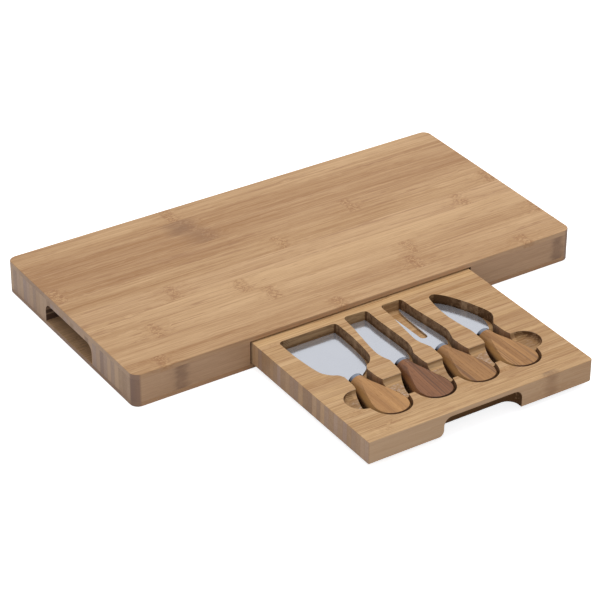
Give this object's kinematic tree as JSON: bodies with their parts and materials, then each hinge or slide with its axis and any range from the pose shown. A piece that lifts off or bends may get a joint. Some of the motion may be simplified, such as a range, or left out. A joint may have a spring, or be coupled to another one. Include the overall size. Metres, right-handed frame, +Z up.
{
  "type": "cheese board with knife drawer",
  "caption": "Rectangular laminated bamboo cheese board with a wide pull-out drawer whose pockets hold small cheese knives.",
  "frame": {"origin": "middle of the board's flat underside", "axes": "+X along the board's length, -Y the way the drawer pulls out, +Z up"},
  "size_m": [0.4, 0.354, 0.028],
  "materials": {
    "board_bamboo": "oiled carbonised bamboo, satin",
    "core_bamboo": "oiled bamboo, end and side grain",
    "drawer_bamboo": "oiled bamboo, narrow laminated strips",
    "blade_steel": "satin stainless steel",
    "ferrule_steel": "polished stainless steel",
    "light_handle_wood": "oiled acacia, light brown",
    "dark_handle_wood": "oiled acacia, reddish brown"
  },
  "bodies": {
    "board": {"top_panel": "board_bamboo", "bottom_panel": "board_bamboo", "core_left": "core_bamboo", "core_right": "core_bamboo", "core_back": "core_bamboo"},
    "drawer": {"drawer": "drawer_bamboo"},
    "cleaver": {"cleaver_blade": "blade_steel", "cleaver_ferrule": "ferrule_steel", "cleaver_handle": "light_handle_wood"},
    "spreader": {"spreader_blade": "blade_steel", "spreader_ferrule": "ferrule_steel", "spreader_handle": "dark_handle_wood"},
    "fork": {"fork_blade": "blade_steel", "fork_ferrule": "ferrule_steel", "fork_handle": "light_handle_wood"},
    "slicer": {"slicer_blade": "blade_steel", "slicer_ferrule": "ferrule_steel", "slicer_handle": "light_handle_wood"}
  },
  "joints": [
    {"name": "drawer_slide", "type": "slide", "parent": "board", "child": "drawer", "axis": [0, -1, 0], "range_m": [-0.154, 0.02]},
    {"name": "cleaver_lift", "type": "slide", "parent": "drawer", "child": "cleaver", "axis": [0, 0, 1], "range_m": [0, 0.035]},
    {"name": "spreader_lift", "type": "slide", "parent": "drawer", "child": "spreader", "axis": [0, 0, 1], "range_m": [0, 0.035]},
    {"name": "fork_lift", "type": "slide", "parent": "drawer", "child": "fork", "axis": [0, 0, 1], "range_m": [0, 0.035]},
    {"name": "slicer_lift", "type": "slide", "parent": "drawer", "child": "slicer", "axis": [0, 0, 1], "range_m": [0, 0.035]}
  ]
}
